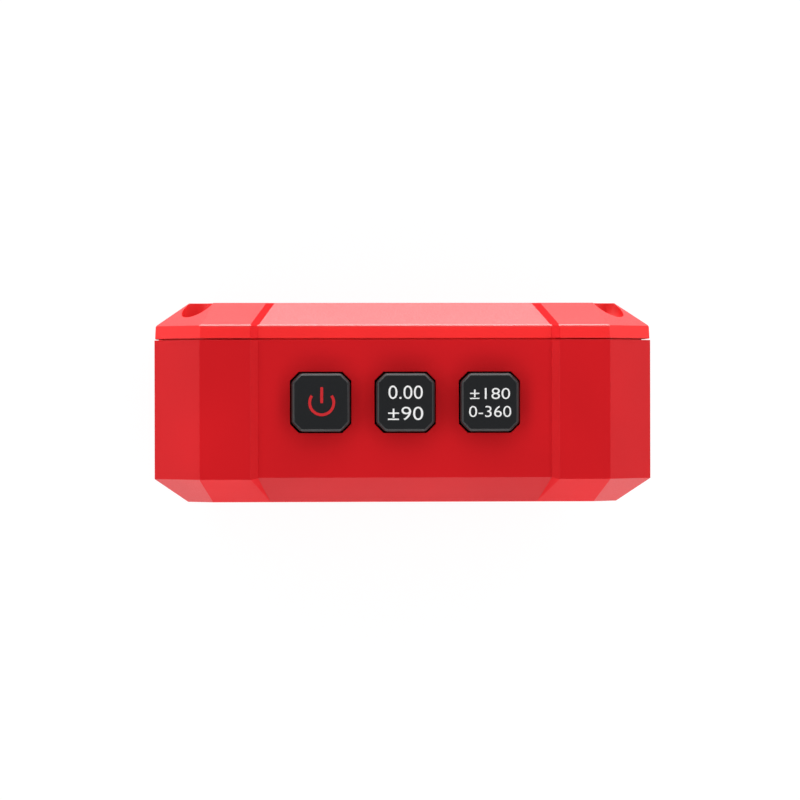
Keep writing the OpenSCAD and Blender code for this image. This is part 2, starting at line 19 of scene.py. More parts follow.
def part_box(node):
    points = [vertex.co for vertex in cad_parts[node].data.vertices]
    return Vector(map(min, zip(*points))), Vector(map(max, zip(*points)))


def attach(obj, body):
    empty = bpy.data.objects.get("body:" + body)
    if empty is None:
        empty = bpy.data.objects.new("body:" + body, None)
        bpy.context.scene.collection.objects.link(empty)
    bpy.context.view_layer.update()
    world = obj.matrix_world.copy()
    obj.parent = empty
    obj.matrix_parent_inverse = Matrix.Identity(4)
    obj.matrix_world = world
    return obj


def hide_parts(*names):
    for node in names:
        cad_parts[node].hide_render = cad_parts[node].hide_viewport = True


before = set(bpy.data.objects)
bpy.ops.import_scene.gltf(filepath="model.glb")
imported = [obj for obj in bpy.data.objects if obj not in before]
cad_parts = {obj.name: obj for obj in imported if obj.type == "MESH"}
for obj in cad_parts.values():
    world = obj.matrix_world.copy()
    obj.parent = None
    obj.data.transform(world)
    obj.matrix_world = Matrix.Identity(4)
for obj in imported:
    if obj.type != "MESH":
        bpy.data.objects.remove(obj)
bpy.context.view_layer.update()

LOG = logging.getLogger("angle_gauge")
KEYS = ("power", "reference", "hold")

MM = 0.001
NEAR = 0.01  # places this close count as the same, in millimetres
MERGE = 0.002  # points of a CAD mesh this close are one, in millimetres
FLAT = 0.5  # faces of a CAD mesh that meet at less are one, in degrees
SHARP = 60.0  # an edge that turns more is sharp, in degrees
LEVEL = 0.9  # a face whose normal rises more looks up

Pair = tuple[float, float]
Point = tuple[float, float, float]
Colour = tuple[float, float, float]
Piece = bpy.types.Object
Material = bpy.types.Material
Socket = bpy.types.NodeSocket
Polygon = bpy.types.MeshPolygon
Edge = bmesh.types.BMEdge
Face = bmesh.types.BMFace


class Body(Enum):
    """The moving bodies of the CAD model."""

    CASE = "case"
    POWER = "power_button"
    REFERENCE = "reference_button"
    HOLD = "hold_button"
    DOOR = "door"


class Slot(Enum):
    """The material slots of the record, one named for each new piece."""

    RED = "red_plastic"
    KEY = "key_plastic"
    WINDOW = "window"
    LCD = "lcd"
    STEEL = "steel"
    CELL = "cell"
    MAGNET = "magnet"


class Facing(Enum):
    """Where a lamp looks."""

    OBJECT = "the middle of the case"
    UP = "straight up"


class Pick(Enum):
    """What a selection in edit mode is made of."""

    VERT = (True, False, False)
    EDGE = (False, True, False)
    FACE = (False, False, True)


class BodyFace(IntEnum):
    """The finishes on the faces of the body, in the order of its materials."""

    PLAIN = 0
    RAMP = 1
    PANEL = 2
    CORNER = 3


class CoverFace(IntEnum):
    """The finishes on the faces of the cover and the door, in the order of their materials."""

    PLAIN = 0
    EDGE = 1
    PANEL = 2
    RAMP = 3
    BEVEL = 4


# Finishes


class NodeTree:
    """A node tree, with a short way to add nodes and their links."""

    def __init__(self, tree: bpy.types.NodeTree) -> None:
        """Takes over a tree and empties it."""
        self.tree = tree
        self.tree.nodes.clear()

    def add(self, kind: str, inputs: dict | None = None, **settings: object) -> bpy.types.Node:
        """Adds a shader node of a kind, with values or sockets for its inputs, and its settings."""
        node = self.tree.nodes.new(f"ShaderNode{kind}")
        for key, value in settings.items():
            setattr(node, key, value)
        for key, value in (inputs or {}).items():
            if isinstance(value, Socket):
                self.tree.links.new(value, node.inputs[key])
            else:
                node.inputs[key].default_value = value
        return node


class Shader(NodeTree):
    """The node tree of one material, with short ways to make its patterns."""

    def __init__(self, name: str) -> None:
        """Starts an empty material of that name."""
        self.material = bpy.data.materials.new(name)
        self.material.use_nodes = True
        super().__init__(self.material.node_tree)
        self.place = self.add("TexCoord").outputs["Object"]

    def noise(self, size: float, detail: float, stretch: Point = (1, 1, 1)) -> Socket:
        """Adds a noise on Object coordinates, with specks of a size in millimetres, scaled along the axes."""
        place = self.place
        if stretch != (1, 1, 1):
            place = self.add("Mapping", {"Vector": place, "Scale": stretch}).outputs["Vector"]
        speck = {"Vector": place, "Scale": 1 / (size * MM), "Detail": detail}
        return self.add("TexNoise", speck).outputs["Fac"]

    def span(self, value: Socket, low: float, high: float, start: float = 0.3, end: float = 0.7) -> Socket:
        """Maps a value from start..end to low..high, and holds it inside those limits."""
        return self.add("MapRange", {
            "Value": value, "From Min": start, "From Max": end, "To Min": low, "To Max": high,
        }).outputs["Result"]

    def blend(self, factor: Socket, low: Colour, high: Colour) -> Socket:
        """Mixes two colours by a factor from 0 to 1."""
        ramp = self.add("ValToRGB", {"Fac": factor})
        ramp.color_ramp.elements[0].color = (*low, 1)
        ramp.color_ramp.elements[1].color = (*high, 1)
        return ramp.outputs["Color"]

    def bump(self, height: Socket, relief: float) -> Socket:
        """Turns a height from 0 to 1 into a bumped normal, with its relief in millimetres."""
        return self.add("Bump", {"Height": height, "Distance": relief * MM}).outputs["Normal"]

    def show(self, surface: Socket) -> Material:
        """Ends the tree with its surface and returns the material."""
        self.add("OutputMaterial", {"Surface": surface})
        return self.material

    def close(self, **inputs: object) -> Material:
        """Ends the tree with a principled shader, whose inputs are named with _ for a space."""
        named = {key.replace("_", " "): value for key, value in inputs.items()}
        return self.show(self.add("BsdfPrincipled", named).outputs["BSDF"])


def shade(colour: Colour, factor: float) -> Colour:
    """Returns the colour made lighter or darker by a factor."""
    return tuple(min(1.0, part * factor) for part in colour)


@dataclass(frozen=True)
class Finish:
    """A finish with a fine grain and slow clouds of colour: moulded plastic, unless its values differ."""

    name: str
    colour: Colour
    roughness: float = 0.40
    spread: Pair = (-0.06, 0.06)
    grain: float = 0.2
    detail: float = 3.0
    drawn: Point = (1, 1, 1)
    relief: float = 0.008
    cloud: float = 14.0
    cloud_detail: float = 1.0
    shades: Pair = (0.96, 1.04)
    specular: float = 0.5
    coat: Pair = (0.0, 0.03)
    metallic: float = 0.0
    clear: float = 0.0
    ior: float = 1.5

    def tint(self, tree: Shader) -> Socket | tuple[float, ...]:
        """Makes the colour: slow clouds of two shades, or plain where the shades are the same."""
        low, high = (shade(self.colour, part) for part in self.shades)
        if low == high:
            return (*low, 1)
        return tree.blend(tree.span(tree.noise(self.cloud, self.cloud_detail), 0, 1), low, high)

    def make(self) -> Material:
        """Builds the node tree."""
        tree = Shader(self.name)
        grain = tree.noise(self.grain, self.detail, self.drawn)
        return tree.close(
            Base_Color=self.tint(tree),
            Roughness=tree.span(grain, *(self.roughness + part for part in self.spread)),
            Metallic=self.metallic,
            Specular_IOR_Level=self.specular,
            IOR=self.ior,
            Transmission_Weight=self.clear,
            Coat_Weight=self.coat[0],
            Coat_Roughness=self.coat[1],
            Normal=tree.bump(grain, self.relief),
        )

    def material(self) -> Material:
        """Returns the material, made at its first use."""
        return bpy.data.materials.get(self.name) or self.make()


@dataclass(frozen=True)
class PrintedInk(Finish):
    """A thin print with slightly uneven cover."""

    roughness: float = 0.5
    spread: Pair = (0.0, 0.1)
    grain: float = 0.12
    detail: float = 2.0
    relief: float = 0.004
    cloud: float = 0.12
    cloud_detail: float = 2.0
    shades: Pair = (0.9, 1.0)


@dataclass(frozen=True)
class PlatedMetal(Finish):
    """Plated or drawn metal with faint stains."""

    roughness: float = 0.22
    spread: Pair = (-0.08, 0.1)
    grain: float = 0.12
    relief: float = 0.004
    cloud: float = 1.6
    cloud_detail: float = 2.0
    shades: Pair = (0.86, 1.0)
    metallic: float = 1.0


@dataclass(frozen=True)
class CircuitBoard(Finish):
    """Solder mask over copper tracks."""

    colour: Colour = (0.010, 0.075, 0.035)
    track: Colour = (0.030, 0.150, 0.065)
    pitch: float = 1.6
    row: float = 0.25
    flat_axes: tuple[int, int] = (0, 2)
    roughness: float = 0.3
    spread: Pair = (0.0, 0.15)
    grain: float = 0.4
    detail: float = 2.0
    relief: float = 0.03

    def make(self) -> Material:
        """Builds the node tree."""
        tree = Shader(self.name)
        parts = tree.add("SeparateXYZ", {"Vector": tree.place}).outputs
        x, y = (parts[axis] for axis in self.flat_axes)
        flat = tree.add("CombineXYZ", {"X": x, "Y": y}).outputs["Vector"]
        tracks = tree.add("TexBrick", {
            "Vector": flat, "Scale": self.row / (self.pitch * MM), "Mortar Size": 0.035,
            "Mortar Smooth": 0.1, "Brick Width": 0.9, "Row Height": self.row,
        }).outputs["Fac"]
        dust = tree.noise(self.grain, self.detail)
        return tree.close(
            Base_Color=tree.blend(tracks, self.colour, self.track),
            Roughness=tree.span(dust, *(self.roughness + part for part in self.spread)),
            Normal=tree.bump(tracks, self.relief),
        )


@dataclass(frozen=True)
class CellSleeve(Finish):
    """The printed sleeve of a battery cell: two plain colours that meet near the end with the nub."""

    colour: Colour = (0.045, 0.050, 0.060)
    band: Colour = (0.46, 0.25, 0.10)
    band_x: float = 9.0
    fade: float = 0.05
    side: int = 1
    roughness: float = 0.30
    grain: float = 2.4
    detail: float = 2.0
    drawn: Point = (0.2, 1, 1)
    relief: float = 0.01
    metallic: float = 0.25
    coat: Pair = (0.4, 0.03)

    def tint(self, tree: Shader) -> Socket:
        """Makes the two colours, with the band towards +X if the side is 1 and towards -X if it is -1."""
        along = tree.add("SeparateXYZ", {"Vector": tree.place}).outputs["X"]
        meet = self.side * self.band_x
        edge = tree.span(along, 0, 1, (meet - self.fade) * MM, (meet + self.fade) * MM)
        return tree.blend(edge, *(self.colour, self.band)[::self.side])


BODY_FINISHES = (
    Finish("body_red", (0.620, 0.0105, 0.0150), specular=0.12),
    # Ramps: less gloss, and a lighter red that is painted light.
    Finish("body_ramp_painted_light", (0.650, 0.0105, 0.0150), specular=0.04),
    # Front panels' bevel: a darker red that is painted shade.
    Finish("body_panel_painted_shade", (0.510, 0.0105, 0.0150), specular=0.12),
    Finish("body_corner", (0.570, 0.0105, 0.0150), specular=0.52),
)
COVER_FINISHES = (
    Finish("cover_red", (0.950, 0.0290, 0.0300), roughness=0.38, specular=0.20),
    # Shoulder round: real gloss and coat, and a lighter red that is a painted highlight.
    Finish("cover_edge_painted_highlight", (0.920, 0.0600, 0.0600), roughness=0.20, relief=0.002, specular=1.0,
           coat=(1.0, 0.20)),
    Finish("cover_grain", (0.900, 0.0340, 0.0390), roughness=0.42, grain=0.35, relief=0.05, specular=0.9,
           coat=(0.5, 0.42)),
    # Ramps: low gloss, and a darker red that is painted shade.
    Finish("cover_ramp_painted_shade", (0.880, 0.0200, 0.0240), specular=0.02),
    Finish("cover_bevel", (0.920, 0.0290, 0.0320)),
)
KEY_BLACK = Finish("key_black", (0.0150, 0.0160, 0.0175), roughness=0.34, relief=0.004, grain=0.14,
                   specular=0.4)
MARK_RED = PrintedInk("mark_red", (0.600, 0.010, 0.016))
MARK_WHITE = PrintedInk("mark_white", (0.90, 0.90, 0.90))
MASK_BLACK = PrintedInk("mask_black", (0.012, 0.012, 0.013), roughness=0.35, specular=0.1)
SEGMENT_BLACK = PrintedInk("segment_black", (0.018, 0.020, 0.020), roughness=0.4, specular=0.1)
CLEAR = Finish("clear_acrylic", (0.97, 0.98, 0.98), roughness=0.02, spread=(0.0, 0.03), grain=9.0,
               detail=1.0, relief=0.01, shades=(1.0, 1.0), clear=1.0, ior=1.33)
LCD_FACE = Finish("display_face", (0.36, 0.41, 0.34), grain=0.3, detail=2.0, drawn=(1, 1, 0.1),
                  relief=0.003, cloud=22.0, shades=(0.93, 1.05))
FOAM = Finish("black_foam", (0.020, 0.020, 0.021), roughness=0.9, grain=0.5, relief=0.08)
WHITE_PLASTIC = Finish("white_plastic", (0.78, 0.78, 0.75), roughness=0.45)
GUIDE_PLASTIC = Finish("light_guide_plastic", (0.82, 0.84, 0.80), roughness=0.25, relief=0.003)
RUBBER = Finish("striped_rubber", (0.11, 0.11, 0.12), roughness=0.7, grain=0.3)
BOARD_GREEN = CircuitBoard("board_green")
KEY_BOARD_GREEN = CircuitBoard("key_board_green", pitch=1.2, flat_axes=(0, 1))
CHIP_BLACK = Finish("chip_epoxy", (0.022, 0.022, 0.024), roughness=0.55, grain=0.1)
SCREW_STEEL = PlatedMetal("screw_steel", (0.62, 0.63, 0.65), roughness=0.30, grain=0.2)
SPRING_STEEL = PlatedMetal("spring_steel", (0.66, 0.66, 0.67), roughness=0.24, grain=0.08)
CONTACT_NICKEL = PlatedMetal("contact_nickel", (0.70, 0.69, 0.66), roughness=0.26, drawn=(1, 1, 0.1))
PIN_GOLD = PlatedMetal("pin_gold", (0.83, 0.62, 0.27))
SWITCH_BLACK = Finish("switch_black", (0.030, 0.030, 0.033), roughness=0.5)
STEM_IVORY = Finish("stem_ivory", (0.66, 0.60, 0.44), roughness=0.45)
MAGNET_NICKEL = PlatedMetal("magnet_nickel", (0.60, 0.60, 0.60), roughness=0.20, grain=0.25)
CELL_STEEL = PlatedMetal("cell_steel", (0.68, 0.68, 0.68), grain=0.2)


# Modelling


def ends(edge: Edge, axis: int) -> Pair:
    """Returns the lowest and the highest place of an edge along an axis, in millimetres."""
    places = [vert.co[axis] / MM for vert in edge.verts]
    return min(places), max(places)


def extent(edge: Edge, axis: int) -> float:
    """Returns how far an edge runs along an axis, in millimetres."""
    low, high = ends(edge, axis)
    return high - low


def turns(edge: Edge, angle: float = SHARP) -> bool:
    """Says whether the faces at an edge meet at more than an angle in degrees."""
    return edge.calc_face_angle(0.0) > math.radians(angle)


def looks_up(face: Face) -> bool:
    """Says whether a face looks up."""
    return face.normal.z > LEVEL


def looks_down(face: Face) -> bool:
    """Says whether a face looks down."""
    return face.normal.z < -LEVEL


def select(*pieces: Piece) -> None:
    """Leaves edit mode, selects these objects and nothing else, and makes the first one active."""
    if bpy.context.mode != "OBJECT":
        bpy.ops.object.mode_set(mode="OBJECT")
    bpy.ops.object.select_all(action="DESELECT")
    for piece in pieces:
        piece.select_set(True)
    if pieces:
        bpy.context.view_layer.objects.active = pieces[0]


@contextmanager
def editing(piece: Piece, pick: Pick, action: str = "SELECT") -> Iterator[bmesh.types.BMesh]:
    """Opens a piece in edit mode, with all of it or, for DESELECT, nothing selected, and yields its mesh."""
    select(piece)
    bpy.context.tool_settings.mesh_select_mode = pick.value
    bpy.ops.object.mode_set(mode="EDIT")
    bpy.ops.mesh.select_all(action=action)
    yield bmesh.from_edit_mesh(piece.data)
    bpy.ops.object.mode_set(mode="OBJECT")


@contextmanager
def faces_of(piece: Piece, test: Callable[[Face], bool]) -> Iterator[None]:
    """Opens a piece in edit mode with the faces that pass a test selected."""
    with editing(piece, Pick.FACE, "DESELECT") as shape:
        for face in filter(test, shape.faces):
            face.select_set(True)
        bmesh.update_edit_mesh(piece.data)
        yield


def round_edges(piece: Piece, test: Callable[[Edge], bool], width: float, steps: int = 2,
                material: int = -1) -> None:
    """Rounds the edges that pass a test.

    Args:
        piece: the object to work on.
        test: says whether an edge is rounded.
        width: width of the round in millimetres.
        steps: facets across the round.
        material: number of the material that the round takes, or -1 to take its neighbours'.
    """
    with editing(piece, Pick.EDGE, "DESELECT") as shape:
        for edge in shape.edges:
            if len(edge.link_faces) == 2 and test(edge):
                edge.select_set(True)
        bmesh.update_edit_mesh(piece.data)
        bpy.ops.mesh.bevel(offset=width * MM, segments=steps, profile=0.5, affect="EDGES",
                           clamp_overlap=True, material=material)


def paint(piece: Piece, *finishes: Finish) -> None:
    """Gives a piece these finishes as its materials, in that order."""
    piece.data.materials.clear()
    for finish in finishes:
        piece.data.materials.append(finish.material())


def copy_mesh(mesh: bpy.types.Mesh, name: str) -> Piece:
    """Adds an object of that name with a copy of a mesh."""
    piece = bpy.data.objects.new(name, mesh.copy())
    bpy.context.scene.collection.objects.link(piece)
    return piece


def copy_node(node: str, name: str, *finishes: Finish) -> Piece:
    """Starts a piece from a CAD node, in these finishes, with its triangles merged into whole faces."""
    piece = copy_mesh(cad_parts[node].data, name)
    paint(piece, *finishes)
    with editing(piece, Pick.VERT):
        bpy.ops.mesh.remove_doubles(threshold=MERGE * MM)
        bpy.ops.mesh.dissolve_limited(angle_limit=math.radians(FLAT), delimit={"NORMAL"})
    return piece


def settle(piece: Piece, name: str) -> Piece:
    """Names a piece and moves its place, turn and scale into its mesh."""
    piece.name = name
    piece.data.name = name
    select(piece)
    bpy.ops.object.transform_apply(location=True, rotation=True, scale=True)
    return piece


def put(piece: Piece, place: Vector, turn: Point = (0, 0, 0)) -> Piece:
    """Turns a piece about the origin in degrees, moves it to a place in metres and applies both."""
    piece.location = place
    piece.rotation_euler = [math.radians(part) for part in turn]
    return settle(piece, piece.name)


def block(name: str, low: Vector, high: Vector) -> Piece:
    """Adds a cube primitive between two corners in metres."""
    select()
    bpy.ops.mesh.primitive_cube_add(size=1, location=(low + high) / 2, scale=high - low)
    return settle(bpy.context.object, name)


def drum(name: str, radius: float, depth: float, sides: int) -> Piece:
    """Adds a cylinder primitive, in millimetres, that stands on the origin along Z."""
    select()
    bpy.ops.mesh.primitive_cylinder_add(vertices=sides, radius=radius * MM, depth=depth * MM,
                                        location=(0, 0, depth * MM / 2))
    return settle(bpy.context.object, name)


def plate(name: str, middle: Vector, size: Pair, turn: Point) -> Piece:
    """Adds a plane primitive, with its middle and its two sides in metres and its turns in degrees."""
    select()
    bpy.ops.mesh.primitive_plane_add(size=1, location=middle)
    bpy.context.object.rotation_euler = [math.radians(part) for part in turn]
    bpy.context.object.scale = (*size, 1)
    return settle(bpy.context.object, name)


def join(pieces: Sequence[Piece], name: str) -> Piece:
    """Joins objects into the first one."""
    select(*pieces)
    bpy.ops.object.join()
    return settle(bpy.context.object, name)


def modify(piece: Piece, kind: str, **settings: object) -> None:
    """Adds a modifier with its settings to a piece and applies it."""
    select(piece)
    bpy.ops.object.modifier_add(type=kind)
    modifier = piece.modifiers[-1]
    for key, value in settings.items():
        setattr(modifier, key, value)
    bpy.ops.object.modifier_apply(modifier=modifier.name)


def weld(piece: Piece, gap: float) -> None:
    """Merges points that lie within a gap in millimetres, and turns all faces outwards."""
    with editing(piece, Pick.VERT):
        bpy.ops.mesh.remove_doubles(threshold=gap * MM)
        bpy.ops.mesh.normals_make_consistent(inside=False)


def smooth(piece: Piece, angle: float = 40.0) -> None:
    """Shades a piece smooth across edges up to an angle in degrees, and keeps its flats flat."""
    select(piece)
    bpy.ops.object.shade_smooth_by_angle(angle=math.radians(angle))
    modify(piece, "WEIGHTED_NORMAL", keep_sharp=True)


def dress(piece: Piece, finish: Finish, body: Body, slot: Slot, *nodes: str) -> None:
    """Gives a new piece a finish if it has none, its body and the CAD nodes it replaces."""
    if not piece.data.materials:
        paint(piece, finish)
    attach(piece, body.value)
    if nodes:
        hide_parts(*nodes)
    LOG.info("%s: %d faces on %s", piece.name, len(piece.data.polygons), body.value)


def dress_node(finish: Finish, *nodes: str) -> None:
    """Gives CAD nodes that keep their shape a better material."""
    for node in nodes:
        paint(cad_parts[node], finish)
        LOG.info("%s keeps its CAD shape, in %s", node, finish.name)


# The sub-assemblies


@dataclass
class CaseOutline:
    """The outer form of the whole case, which tells edges of the skin from edges inside."""

    half: float = 35.0
    mid_z: float = 35.0
    half_t: float = 14.0
    corner_cut: float = 6.3
    bevel_in: float = 4.7
    bevel_d: float = 3.25
    least_turn: float = 12.0

    def depth(self, point: Vector) -> float:
        """Returns how deep a point (in metres) lies under the outer form, in millimetres."""
        x, y, z = (abs(point.x) / MM, point.y / MM, abs(point.z / MM - self.mid_z))
        inset = min(self.half - x, self.half - z, (2 * self.half - self.corner_cut - x - z) / math.sqrt(2))
        slope = math.hypot(self.bevel_in, self.bevel_d)
        past = abs(y) - (self.half_t - self.bevel_d)
        bevel = (inset * self.bevel_d - past * self.bevel_in) / slope
        return min(inset, self.half_t - abs(y), bevel)

    def on_skin(self, edge: Edge, skin: float) -> bool:
        """Says whether an edge turns, with both ends less than the skin's depth under the outer form."""
        return turns(edge, self.least_turn) and all(self.depth(vert.co) < skin for vert in edge.verts)

    def aside(self, point: Vector) -> float:
        """Returns how far along its side a point (in metres) lies from the middle, in millimetres."""
        return min(abs(point.x) / MM, abs(point.z / MM - self.mid_z))


@dataclass
class RedCase:
    """The moulded body, the back cover and the battery door."""

    outline: CaseOutline
    edge_round: float = 0.24
    shoulder_round: float = 0.20
    shoulder_steps: int = 3
    door_round: float = 0.16
    soft: float = 28.0
    door_soft: float = 40.0
    skin: float = 1.0
    door_skin: float = 0.6
    panel_in: float = 0.3
    ramp_in: float = 0.05
    ramp_end: float = -11.1
    ramp_skew: float = 0.05
    corner_from: float = 24.0
    facet_from: float = 28.0
    bevel_tilt: Pair = (0.4, 0.95)
    grip_x: Pair = (16.0, 25.5)
    grip_y: float = 13.7
    grip_z: float = 7.5
    slack: float = 0.02

    def on_front_ramp(self, edge: Edge) -> bool:
        """Says whether an edge belongs to a ramp that runs out on the front bevel."""
        low, high = ends(edge, 1)
        corner = all(self.outline.aside(vert.co) > self.corner_from for vert in edge.verts)
        return low < self.ramp_end and high > NEAR - self.outline.half_t and not corner

    def on_shoulder(self, edge: Edge) -> bool:
        """Says whether an edge lies where the back bevel of a block or a panel starts."""
        start = self.outline.half_t - self.outline.bevel_d
        level = all(abs(place - start) < self.slack for place in ends(edge, 1))
        straight = min(extent(edge, 0), extent(edge, 2)) < self.slack
        return level and straight and self.outline.on_skin(edge, self.skin)

    def in_grip(self, edge: Edge) -> bool:
        """Says whether an edge belongs to the grip grooves of the door."""
        x, y, z = (edge.verts[0].co + edge.verts[1].co) / 2 / MM
        across = self.grip_x[0] < x < self.grip_x[1] and abs(z - self.outline.mid_z) < self.grip_z
        return y > self.grip_y and across

    def is_ramp(self, face: Polygon) -> bool:
        """Says whether a face slants between a corner block and a sunken panel."""
        skewed = min(abs(face.normal.x), abs(face.normal.z)) > self.ramp_skew
        return skewed and self.outline.aside(face.center) < self.corner_from

    def body_face(self, face: Polygon) -> int:
        """Chooses a finish: dull and painted lighter on ramps, painted shade on front panels, glossy on front
        corners.
        """
        depth = self.outline.depth(face.center)
        bevel = self.bevel_tilt[0] < -face.normal.y < self.bevel_tilt[1]
        if depth < self.ramp_in:
            corner = bevel and self.outline.aside(face.center) > self.facet_from
            return BodyFace.CORNER if corner else BodyFace.PLAIN
        if depth < self.skin and self.is_ramp(face):
            return BodyFace.RAMP
        return BodyFace.PANEL if bevel and depth < self.skin else BodyFace.PLAIN

    def cover_face(self, face: Polygon) -> int:
        """Chooses a finish: dull with painted shade on ramps, grained on the panels of the back bevel, satin
        on its blocks.
        """
        depth = self.outline.depth(face.center)
        if face.material_index or depth > self.skin or face.normal.y > self.bevel_tilt[1]:
            return face.material_index
        if depth > self.ramp_in and self.is_ramp(face):
            return CoverFace.RAMP
        if face.normal.y > self.bevel_tilt[0]:
            return CoverFace.PANEL if depth > self.panel_in else CoverFace.BEVEL
        return CoverFace.PLAIN

    def by_shoulder(self, edge: Edge) -> bool:
        """Says whether an edge borders a round that already has its own finish."""
        return any(face.material_index for face in edge.link_faces)

    def build(self) -> None:
        """Models the three shells from their CAD nodes, with rounded outer edges and a glossy shoulder with a
        painted highlight.
        """
        body = copy_node("front_case", "case_body", *BODY_FINISHES)
        cover = copy_node("back_cover", "cover_shell", *COVER_FINISHES)
        door = copy_node("battery_door", "door_panel", *COVER_FINISHES)
        # The shoulder rounds take the EDGE finish, whose lighter red is a painted highlight.
        round_edges(cover, self.on_shoulder, self.shoulder_round, self.shoulder_steps, CoverFace.EDGE)
        case_edges = (self.skin, self.edge_round, self.soft)
        door_edges = (self.door_skin, self.door_round, self.door_soft)
        shells = (
            (body, "front_case", Body.CASE, self.on_front_ramp, self.body_face, case_edges),
            (cover, "back_cover", Body.CASE, self.by_shoulder, self.cover_face, case_edges),
            (door, "battery_door", Body.DOOR, self.in_grip, self.cover_face, door_edges),
        )
        for piece, node, home, sharp, choose, (skin, width, soft) in shells:
            round_edges(piece, lambda edge: self.outline.on_skin(edge, skin) and not sharp(edge), width)
            smooth(piece, soft)
            for face in piece.data.polygons:
                face.material_index = choose(face)
            dress(piece, COVER_FINISHES[0], home, Slot.RED, node)


@dataclass(frozen=True)
class KeyLine:
    """A line of plain numbers on a key: its words, size, and height above the key's middle."""

    key: str
    place: str
    words: str
    height: float
    width: float
    up: float


@dataclass
class KeyRow:
    """The three keys, with a power symbol on the first and plain numbers on the other two."""

    corner_round: float = 0.3
    corner_steps: int = 3
    neck: float = 2.2
    crown: float = 0.5
    top_round: float = 0.1
    top_turn: float = 20.0
    soft: float = 50.0
    dish_in: float = 0.3
    dish_d: float = 0.05
    print_t: float = 0.03
    symbol_at: Pair = (0.1, -0.04)
    ring_radius: float = 1.68
    ring_gap: float = 54.6
    ring_steps: int = 64
    ring_weld: float = 0.001
    stroke: float = 0.4
    bar_top: float = 2.17
    bar_low: float = -0.07
    bar_round: float = 0.12
    type_scale: float = 1.4
    type_thin: float = 0.01
    type_steps: int = 4
    type_weld: float = 0.0005
    lines: tuple[KeyLine, ...] = (
        KeyLine("reference", "upper", "0.00", 1.88, 4.8, 1.4),
        KeyLine("reference", "lower", "±90", 1.88, 4.9, -1.55),
        KeyLine("hold", "upper", "±180", 1.56, 5.6, 1.2),
        KeyLine("hold", "lower", "0-360", 1.56, 5.9, -1.3),
    )

    def build_cap(self, key: str) -> None:
        """Models one key cap from its CAD node, with softened edges and a slightly dished face."""
        node = f"{key}_key"
        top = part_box(node)[1].z / MM
        foot = top - self.neck
        piece = copy_node(node, f"{key}_cap")
        round_edges(piece, lambda edge: ends(edge, 2)[0] < foot
                    < ends(edge, 2)[1] - self.crown, self.corner_round, self.corner_steps)
        with faces_of(piece, lambda face: face.calc_center_median().z > (top - NEAR) * MM):
            bpy.ops.mesh.inset(thickness=self.dish_in * MM)
            bpy.ops.transform.translate(value=(0, 0, -self.dish_d * MM))
        round_edges(piece, lambda edge: ends(edge, 2)[0] > top - self.crown
                    and turns(edge, self.top_turn), self.top_round)
        smooth(piece, self.soft)
        dress(piece, KEY_BLACK, Body(f"{key}_button"), Slot.KEY, node)

    def spot(self, key: str, right: float, up: float) -> Vector:
        """Returns the place of a mark, given in millimetres from the middle of its key, in metres."""
        low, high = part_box(f"{key}_key")
        middle = (low + high) / 2
        level = high.z - (self.dish_d - self.print_t / 2) * MM
        return Vector((middle.x + right * MM, middle.y + up * MM, level))

    def build_symbol(self) -> None:
        """Models the power symbol: a ring that is open at the top, and a bar."""
        centre = self.spot("power", *self.symbol_at)
        start = 90 + self.ring_gap
        reach = Matrix.Rotation(math.radians(start), 3, "Z") @ Vector((self.ring_radius * MM, 0, 0))
        ring = plate("power_symbol", centre + reach, (self.stroke * MM, self.print_t * MM), (90, 0, start))
        with editing(ring, Pick.FACE):
            bpy.ops.mesh.spin(steps=self.ring_steps, angle=-math.radians(360 - 2 * self.ring_gap),
                              center=centre, axis=(0, 0, 1))
        weld(ring, self.ring_weld)
        half = Vector((self.stroke / 2, 0, self.print_t / 2)) * MM
        bar = block("power_bar", centre - half + Vector((0, self.bar_low * MM, 0)),
                    centre + half + Vector((0, self.bar_top * MM, 0)))
        round_edges(bar, lambda edge: extent(edge, 2) > NEAR, self.bar_round, self.corner_steps)
        piece = join([ring, bar], "power_symbol")
        smooth(piece)
        dress(piece, MARK_RED, Body.POWER, Slot.KEY)

    def build_line(self, line: KeyLine) -> None:
        """Models one line of plain numbers on a key."""
        select()
        bpy.ops.object.text_add(location=(0, 0, 0))
        text = bpy.context.object.data
        text.body = line.words
        text.size = line.height * self.type_scale * MM
        text.offset = -self.type_thin * MM
        text.extrude = self.print_t / 2 * MM
        text.resolution_u = self.type_steps
        bpy.ops.object.convert(target="MESH")
        piece = bpy.context.object
        first, last = (Vector(map(end, zip(*piece.bound_box))) for end in (min, max))
        size = last - first
        middle = (first + last) / 2
        piece.scale = (line.width * MM / size.x, line.height * MM / size.y, 1)
        shift = Vector((middle.x * piece.scale.x, middle.y * piece.scale.y, 0))
        piece.location = self.spot(line.key, 0, line.up) - shift
        settle(piece, f"{line.key}_{line.place}_numbers")
        weld(piece, self.type_weld)
        dress(piece, MARK_WHITE, Body(f"{line.key}_button"), Slot.KEY)

    def build(self) -> None:
        """Builds the caps and their marks."""
        for key in KEYS:
            self.build_cap(key)
        self.build_symbol()
        for line in self.lines:
            self.build_line(line)


